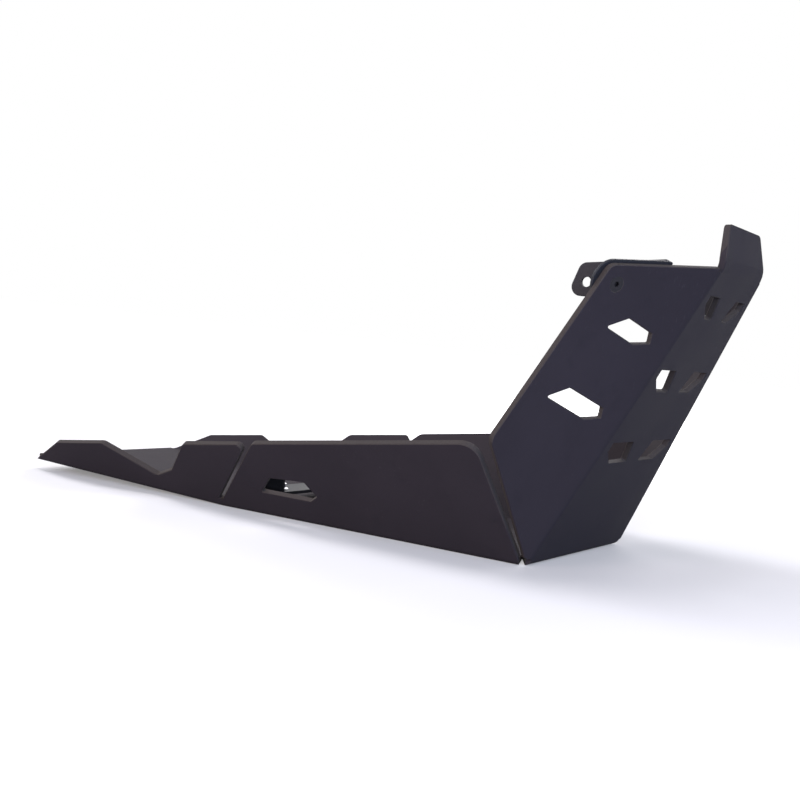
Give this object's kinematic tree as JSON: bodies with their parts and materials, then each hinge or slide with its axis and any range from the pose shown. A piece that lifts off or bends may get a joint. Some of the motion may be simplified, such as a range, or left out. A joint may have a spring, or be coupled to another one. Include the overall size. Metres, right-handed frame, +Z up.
{
  "type": "motorcycle skid plate",
  "caption": "Folded plastic skid plate that shields a motorcycle's engine from below and in front, with its brackets and screws.",
  "frame": {"origin": "middle of the underside of the belly's level part, on which the plate stands", "axes": "+X to the front of the motorcycle, +Y to its left, +Z up"},
  "size_m": [0.6659, 0.3724, 0.3014],
  "materials": {
    "sheet": "matte black polyethylene sheet with a fine texture",
    "front_brackets": "satin black powder coat",
    "rear_bracket": "satin black powder coat",
    "screws": "black oxide",
    "nuts": "zinc plated",
    "spacers": "turned"
  },
  "bodies": {
    "root": {"skid_plate": "sheet", "front_bracket_right": "front_brackets", "front_bracket_left": "front_brackets", "front_screw_right": "screws", "front_screw_left": "screws", "front_nut_right": "nuts", "front_nut_left": "nuts", "rear_bracket": "rear_bracket", "rear_screw_right": "screws", "rear_screw_left": "screws", "rear_spacer_right": "spacers", "rear_spacer_left": "spacers", "rear_nut_right": "nuts", "rear_nut_left": "nuts"}
  },
  "joints": []
}
